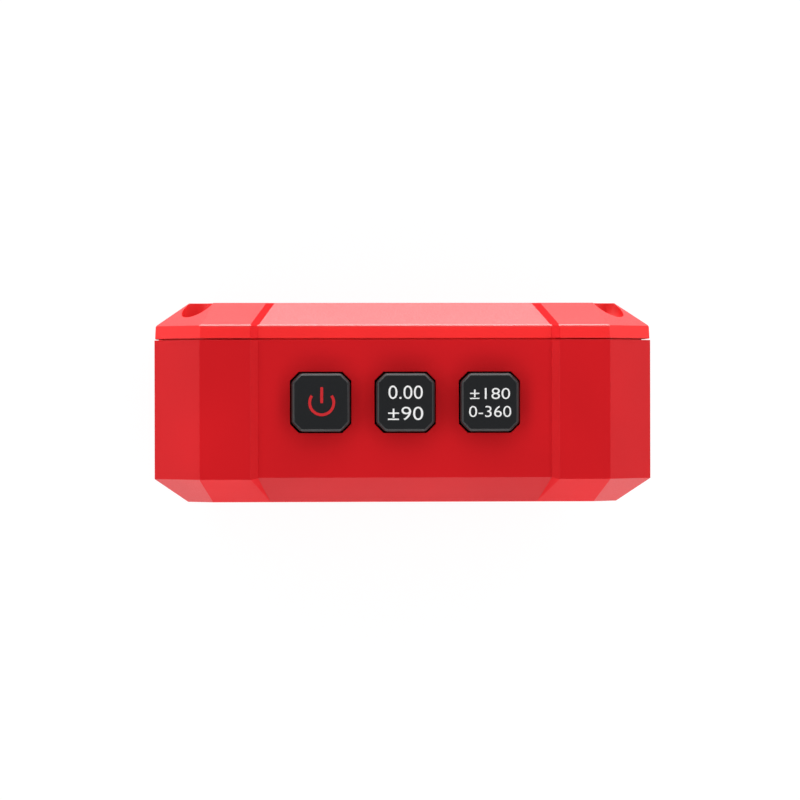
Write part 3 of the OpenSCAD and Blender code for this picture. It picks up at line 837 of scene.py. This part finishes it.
@dataclass
class Display:
    """The window with its black border, and the liquid crystal panel with its digits."""

    corner: float = 2.9
    corner_steps: int = 8
    rim_round: float = 0.25
    mask_t: float = 0.04
    air: float = 0.01
    glass_round: float = 0.12
    view: Pair = (41.6, 24.4)
    view_z: float = 36.2
    view_corner: float = 1.0
    reading_at: Pair = (-1.5, -0.6)
    digit: Pair = (7.2, 13.0)
    stroke: float = 1.5
    taper: float = 0.48
    gap: float = 0.22
    pitch: float = 9.6
    ink_t: float = 0.02
    ring_radius: float = 1.4
    ring_wall: float = 0.6
    ring_sides: int = 32
    ring_at: float = 1.68

    def build_window(self) -> None:
        """Models the clear pane: a block with round corners and a softened front rim."""
        low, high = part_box("display_window")
        front = low.y / MM + NEAR
        pane = block("window_pane", low, high - Vector((0, (self.mask_t + self.air) * MM, 0)))
        round_edges(pane, lambda edge: extent(edge, 1) > NEAR, self.corner, self.corner_steps)
        round_edges(pane, lambda edge: ends(edge, 1)[1] < front and turns(edge), self.rim_round)
        smooth(pane)
        dress(pane, CLEAR, Body.CASE, Slot.WINDOW, "display_window")

    def outline(self, name: str, middle: Vector, size: Pair, corner: float) -> Piece:
        """Models an upright plate, in metres, with round corners of a radius in millimetres."""
        piece = plate(name, middle, size, (90, 0, 0))
        with editing(piece, Pick.VERT):
            bpy.ops.mesh.bevel(offset=corner * MM, segments=self.corner_steps, affect="VERTICES")
        return piece

    def build_mask(self) -> None:
        """Models the printed border behind the pane by bridging two rounded outlines."""
        low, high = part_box("display_window")
        middle = (low + high) / 2
        back = high.y - self.mask_t * MM
        outer = self.outline("window_border", Vector((middle.x, back, middle.z)),
                             (high.x - low.x, high.z - low.z), self.corner)
        inner = self.outline("window_border_inner", Vector((0, back, self.view_z * MM)),
                             (self.view[0] * MM, self.view[1] * MM), self.view_corner)
        piece = join([outer, inner], "window_border")
        with editing(piece, Pick.EDGE):
            bpy.ops.mesh.delete(type="ONLY_FACE")
            bpy.ops.mesh.select_all(action="SELECT")
            bpy.ops.mesh.bridge_edge_loops()
            bpy.ops.mesh.select_all(action="SELECT")
            bpy.ops.mesh.extrude_region_move(TRANSFORM_OT_translate={"value": (0, self.mask_t * MM, 0)})
            bpy.ops.mesh.select_all(action="SELECT")
            bpy.ops.mesh.normals_make_consistent(inside=False)
        dress(piece, MASK_BLACK, Body.CASE, Slot.WINDOW)

    def build_panel(self) -> None:
        """Models the glass of the panel, with ground edges."""
        piece = block("lcd_glass", *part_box("lcd_panel"))
        round_edges(piece, lambda edge: True, self.glass_round)
        smooth(piece)
        dress(piece, LCD_FACE, Body.CASE, Slot.LCD, "lcd_panel")

    def bar(self, length: float) -> Piece:
        """Models one segment on the origin: a flat bar along X, of a length in millimetres."""
        half = Vector((length / 2, self.ink_t / 2, self.stroke / 2)) * MM
        piece = block("segment", -half, half)
        round_edges(piece, lambda edge: extent(edge, 1) > NEAR, self.stroke * self.taper, 1)
        return piece

    def zero(self, middle: Vector) -> list[Piece]:
        """Models the six segments of a nought, clockwise from the top, round a middle in metres."""
        half_w, half_h = (self.digit[0] - self.stroke) / 2, (self.digit[1] - self.stroke) / 2
        places = (
            (0, half_h, 0), (half_w, half_h / 2, 90), (half_w, -half_h / 2, 90),
            (0, -half_h, 0), (-half_w, -half_h / 2, 90), (-half_w, half_h / 2, 90),
        )
        bars = []
        for right, up, turn in places:
            piece = self.bar((half_h if turn else 2 * half_w) - self.gap)
            bars.append(put(piece, middle + Vector((right, 0, up)) * MM, (0, turn, 0)))
        return bars

    def degree_ring(self, middle: Vector) -> Piece:
        """Models the degree ring, which looks forward, round a middle in metres."""
        ring = drum("segment", self.ring_radius, self.ink_t, self.ring_sides)
        with faces_of(ring, lambda face: looks_up(face) or looks_down(face)):
            bpy.ops.mesh.inset(thickness=self.ring_wall * MM, use_individual=True)
            bpy.ops.mesh.bridge_edge_loops()
        return put(ring, middle - Vector((0, self.ink_t / 2 * MM, 0)), (-90, 0, 0))

    def build_digits(self) -> None:
        """Models a level reading, 0.00, with a point and a degree ring."""
        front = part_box("lcd_panel")[0].y - self.ink_t / 2 * MM
        middle = Vector((self.reading_at[0] * MM, front, (self.view_z + self.reading_at[1]) * MM))
        top = self.digit[1] / 2
        bars = []
        for place in (-1, 0, 1):
            bars += self.zero(middle + Vector((place * self.pitch * MM, 0, 0)))
        half = Vector((self.stroke, self.ink_t, self.stroke)) / 2 * MM
        point = middle + Vector((-self.pitch / 2, 0, self.stroke / 2 - top)) * MM
        bars.append(block("segment", point - half, point + half))
        corner = Vector((self.ring_at * self.pitch, 0, top - self.ring_radius)) * MM
        bars.append(self.degree_ring(middle + corner))
        dress(join(bars, "lcd_digits"), SEGMENT_BLACK, Body.CASE, Slot.LCD)

    def build(self) -> None:
        """Builds the window and the panel, and dresses the stack behind them."""
        self.build_window()
        self.build_mask()
        self.build_panel()
        self.build_digits()
        dress_node(FOAM, "window_gasket")
        dress_node(GUIDE_PLASTIC, "light_guide")
        dress_node(RUBBER, "elastomer_strip")
        dress_node(WHITE_PLASTIC, "display_frame")


@dataclass
class Electronics:
    """The boards and what is soldered or screwed to them, all of it inside the closed case."""

    def build(self) -> None:
        """Dresses the CAD nodes."""
        dress_node(BOARD_GREEN, "main_board")
        dress_node(KEY_BOARD_GREEN, "key_board")
        dress_node(CHIP_BLACK, "controller_chip", "tilt_sensor")
        dress_node(SCREW_STEEL, "board_screws")
        dress_node(PIN_GOLD, "link_pins")
        dress_node(SWITCH_BLACK, *(f"{key}_switch" for key in KEYS))
        dress_node(STEM_IVORY, *(f"{key}_switch_stem" for key in KEYS))


@dataclass
class BatteryPack:
    """The two cells with their contacts and springs, which show when the door is out."""

    sides: int = 64
    rim: float = 0.35
    rim_steps: int = 3
    nub: Pair = (1.9, 0.8)
    nub_round: float = 0.2
    shoulder: float = 0.9
    groove: float = 0.1
    top_step: float = 0.12
    foot_step: float = 0.1
    steel_tilt: float = 0.5
    slack: float = 0.05

    def model(self, name: str, radius: float, length: float) -> Piece:
        """Models a cell along Z: a sleeve with rolled ends, and a nub at the upper end.

        Args:
            name: name of the new piece.
            radius: radius in millimetres.
            length: length in millimetres, without the nub.

        Returns:
            The cell, with its foot on the origin.
        """
        nub_radius, nub_up = self.nub
        piece = drum(name, radius, length, self.sides)
        with faces_of(piece, looks_up):
            bpy.ops.mesh.inset(thickness=self.shoulder * MM)
            bpy.ops.mesh.inset(thickness=self.groove * MM, depth=-self.top_step * MM)
            bpy.ops.mesh.inset(thickness=(radius - self.shoulder - self.groove - nub_radius) * MM)
            bpy.ops.mesh.extrude_region_move(
                TRANSFORM_OT_translate={"value": (0, 0, (nub_up + self.top_step) * MM)})
        with faces_of(piece, looks_down):
            bpy.ops.mesh.inset(thickness=self.shoulder * MM)
            bpy.ops.mesh.inset(thickness=self.groove * MM, depth=-self.foot_step * MM)
        round_edges(piece, lambda edge: turns(edge) and all(
            abs(vert.co.xy.length / MM - radius) < self.slack for vert in edge.verts), self.rim,
            self.rim_steps)
        round_edges(piece, lambda edge: ends(edge, 2)[0] > length + nub_up / 2 and turns(edge),
                    self.nub_round)
        return piece

    def build_cell(self, node: str, name: str, side: int) -> None:
        """Builds a cell in its printed sleeve.

        Args:
            node: the CAD node of the cell.
            name: name of the new piece.
            side: 1 if the nub points along +X, and -1 if it points along -X.
        """
        low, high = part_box(node)
        middle = (low + high) / 2
        radius = (high.z - low.z) / 2 / MM
        length = (high.x - low.x) / MM - self.nub[1]
        piece = self.model(name, radius, length)
        paint(piece, CellSleeve(f"{name}_sleeve", side=side), CELL_STEEL)
        for face in piece.data.polygons:
            inside = face.center.xy.length / MM < radius - self.shoulder
            if abs(face.normal.z) > self.steel_tilt and inside or face.center.z > length * MM:
                face.material_index = 1
        start = low.x if side > 0 else high.x
        put(piece, Vector((start, middle.y, middle.z)), (0, 90 * side, 0))
        smooth(piece)
        dress(piece, CELL_STEEL, Body.CASE, Slot.CELL, node)

    def build(self) -> None:
        """Builds the cells and dresses the contacts."""
        self.build_cell("upper_cell", "upper_battery", 1)
        self.build_cell("lower_cell", "lower_battery", -1)
        dress_node(CONTACT_NICKEL, "bridge_contact", "positive_contact", "negative_contact")
        dress_node(SPRING_STEEL, "upper_spring", "lower_spring")


@dataclass
class CaseScrews:
    """The four screws in the corner recesses of the back cover."""

    outline: CaseOutline
    inset: float = 6.2
    seat_y: float = 10.2
    sides: int = 40
    head: Pair = (2.0, 1.6)
    shank: Pair = (1.1, 10.0)
    dome: float = 0.55
    dome_steps: int = 4
    slot: Point = (1.36, 0.36, 0.9)
    slot_taper: Point = (0.5, 0.7, 1)
    places: tuple[tuple[str, int, int, float], ...] = (
        ("low_left", -1, -1, 12), ("low_right", 1, -1, 57),
        ("high_left", -1, 1, 33), ("high_right", 1, 1, 74),
    )

    def model(self) -> Piece:
        """Models one screw along Z with its seat on the origin."""
        head_radius, head_up = self.head
        piece = drum("case_screw", head_radius, head_up, self.sides)
        with faces_of(piece, looks_down):
            bpy.ops.mesh.inset(thickness=(head_radius - self.shank[0]) * MM)
            bpy.ops.mesh.extrude_region_move(
                TRANSFORM_OT_translate={"value": (0, 0, -self.shank[1] * MM)})
        round_edges(piece, lambda edge: ends(edge, 2)[0] > head_up - NEAR and turns(edge),
                    self.dome, self.dome_steps)
        reach, half, depth = self.slot
        for turn in (0, 90):
            tool = block("cross_tool", Vector((-reach, -half, head_up - depth)) * MM,
                         Vector((reach, half, head_up + 1)) * MM)
            with faces_of(tool, looks_down):
                bpy.ops.transform.resize(value=self.slot_taper)
            put(tool, Vector(), (0, 0, turn))
            modify(piece, "BOOLEAN", operation="DIFFERENCE", solver="EXACT", object=tool)
            bpy.data.objects.remove(tool)
        smooth(piece)
        return piece

    def build(self) -> None:
        """Models the screw once and puts a copy in each recess."""
        master = self.model()
        reach = self.outline.half - self.inset
        for name, x, z, turn in self.places:
            piece = put(copy_mesh(master.data, f"case_screw_{name}"), Vector(), (0, 0, turn))
            place = Vector((x * reach, self.seat_y, self.outline.mid_z + z * reach)) * MM
            put(piece, place, (-90, 0, 0))
            dress(piece, SCREW_STEEL, Body.CASE, Slot.STEEL, "case_screws")
        bpy.data.objects.remove(master)


@dataclass
class MagnetSet:
    """The magnets in the base and in the two sides."""

    sides: int = 40
    rim: float = 0.22

    def place(self, master: Piece, node: str, turn: Point, face: Point) -> None:
        """Puts a copy of the magnet, turned in degrees, where a CAD node looks out of the case."""
        low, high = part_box(node)
        start = (low + high) / 2 + (high - low) / 2 * Vector(face)
        piece = put(copy_mesh(master.data, f"disc_{node}"), start, turn)
        dress(piece, MAGNET_NICKEL, Body.CASE, Slot.MAGNET, node)

    def build(self) -> None:
        """Models a magnet once and puts a copy in each pocket."""
        low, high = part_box("base_magnet_front_left")
        size = (high - low) / MM
        master = drum("magnet", size.x / 2, size.z, self.sides)
        round_edges(master, turns, self.rim)
        smooth(master)
        for corner in ("front_left", "front_right", "back_left", "back_right"):
            self.place(master, f"base_magnet_{corner}", (0, 0, 0), (0, 0, -1))
        for level in ("low", "high"):
            self.place(master, f"left_magnet_{level}", (0, 90, 0), (-1, 0, 0))
            self.place(master, f"right_magnet_{level}", (0, -90, 0), (1, 0, 0))
        bpy.data.objects.remove(master)


# Studio


@dataclass
class Lamp:
    """A soft box, with its place and size in metres and its power in watts."""

    name: str
    place: Point
    size: Pair
    power: float
    facing: Facing = Facing.OBJECT

    def build(self, aim: Vector) -> None:
        """Adds the lamp, which looks at the aim in metres if it faces the object."""
        select()
        bpy.ops.object.light_add(type="AREA", location=self.place)
        lamp = bpy.context.object
        lamp.name = self.name
        lamp.data.shape = "RECTANGLE"
        lamp.data.size, lamp.data.size_y = self.size
        lamp.data.energy = self.power
        lamp.visible_camera = False
        way = aim - lamp.location if self.facing is Facing.OBJECT else Vector((0, 0, 1))
        lamp.rotation_euler = way.to_track_quat("-Z", "Y").to_euler()


@dataclass
class Studio:
    """A white floor, a pale surround that is dark overhead, and soft boxes on all sides."""

    floor_size: float = 6.0
    paper: float = 0.80
    veil: float = 0.14
    glow: float = 0.9
    surround: float = 3.0
    side_lift: float = 0.20
    rise: tuple[Pair, ...] = ((0.0, 0.10), (0.14, 0.15), (0.24, 1.0), (0.44, 1.0), (0.56, 0.02))
    aim: Point = (0.0, 0.0, 0.05)
    lamps: tuple[Lamp, ...] = (
        Lamp("back_box", (0.0, 0.80, 0.18), (1.5, 0.22), 4.4),
        Lamp("front_box", (0.0, -0.8, 0.40), (1.1, 0.20), 1.2),
        Lamp("left_box", (-0.8, 0.0, 0.50), (0.3, 0.8), 1.0),
        Lamp("right_box", (0.8, 0.0, 0.50), (0.3, 0.8), 0.6),
        Lamp("low_back_panel", (0.0, 0.475, 0.004), (0.9, 0.55), 5.5, Facing.UP),
        Lamp("low_front_panel", (0.0, -0.475, 0.004), (0.9, 0.55), 4.5, Facing.UP),
    )

    def build_floor(self) -> None:
        """Adds the floor, which looks white and keeps a faint shadow."""
        floor = plate("studio_floor", Vector(), (self.floor_size, self.floor_size), (0, 0, 0))
        tree = Shader("floor_white")
        paths = tree.add("LightPath").outputs
        seen = paths["Is Camera Ray"]
        for other in ("Is Glossy Ray", "Is Transmission Ray"):
            seen = tree.add("Math", {0: seen, 1: paths[other]}, operation="MAXIMUM").outputs[0]
        paper, veil = (tree.add("BsdfDiffuse", {"Color": (level, level, level, 1)}).outputs[0]
                       for level in (self.paper, self.veil))
        glow = tree.add("Emission", {"Color": (1, 1, 1, 1), "Strength": self.glow}).outputs[0]
        white = tree.add("AddShader", {0: veil, 1: glow}).outputs[0]
        mixed = tree.add("MixShader", {0: seen, 1: paper, 2: white}).outputs[0]
        floor.data.materials.append(tree.show(mixed))

    def build_world(self) -> None:
        """Sets the surround: a bright band above the horizon, lower at the sides, and dark overhead."""
        world = bpy.data.worlds.new("studio_surround")
        bpy.context.scene.world = world
        world.use_nodes = True
        tree = NodeTree(world.node_tree)
        way = tree.add("TexCoord").outputs["Generated"]
        x, _, z = tree.add("SeparateXYZ", {"Vector": way}).outputs
        side = tree.add("Math", {0: x, 1: x}, operation="MULTIPLY").outputs[0]
        lift = {0: side, 1: -self.side_lift, 2: z}
        height = tree.add("Math", lift, operation="MULTIPLY_ADD").outputs[0]
        band = tree.add("ValToRGB", {"Fac": height})
        band.color_ramp.interpolation = "EASE"
        steps = band.color_ramp.elements
        while len(steps) < len(self.rise):
            steps.new(1.0)
        for step, (place, level) in zip(steps, self.rise):
            step.position = place
            step.color = (level, level, level, 1)
        shine = {"Color": band.outputs["Color"], "Strength": self.surround}
        light = tree.add("Background", shine).outputs["Background"]
        tree.add("OutputWorld", {"Surface": light})

    def build(self) -> None:
        """Builds the floor, the surround and the lamps."""
        self.build_floor()
        self.build_world()
        for lamp in self.lamps:
            lamp.build(Vector(self.aim))
        bpy.context.scene.view_settings.view_transform = "Standard"


@dataclass
class PhotoCamera:
    """The camera that looks down on the keys, leaning slightly to the left."""

    aim: Point = (-0.75, 0.32, 70.0)
    distance: float = 580.0
    lens: float = 187.1
    sensor: float = 36.0
    clip_end: float = 20.0
    lean: float = 2.8
    roll: float = -0.1

    def build(self) -> None:
        """Adds the camera and makes it the scene's own."""
        select()
        bpy.ops.object.camera_add()
        camera = bpy.context.object
        camera.name = "photo_camera"
        camera.data.lens = self.lens
        camera.data.sensor_width = self.sensor
        camera.data.clip_end = self.clip_end
        lean = Matrix.Rotation(math.radians(-self.lean), 4, "Y")
        turn = lean @ Matrix.Rotation(math.radians(self.roll), 4, "Z")
        back = turn @ Vector((0, 0, self.distance * MM))
        camera.matrix_world = Matrix.Translation(Vector(self.aim) * MM + back) @ turn
        bpy.context.scene.camera = camera


def main() -> None:
    """Builds the gauge and its studio in order."""
    logging.basicConfig(level=logging.INFO, format="%(message)s")
    outline = CaseOutline()
    for assembly in (PhotoCamera(), Studio(), RedCase(outline), KeyRow(), Display(), Electronics(),
                     BatteryPack(), CaseScrews(outline), MagnetSet()):
        assembly.build()


if __name__ == "__main__":
    main()
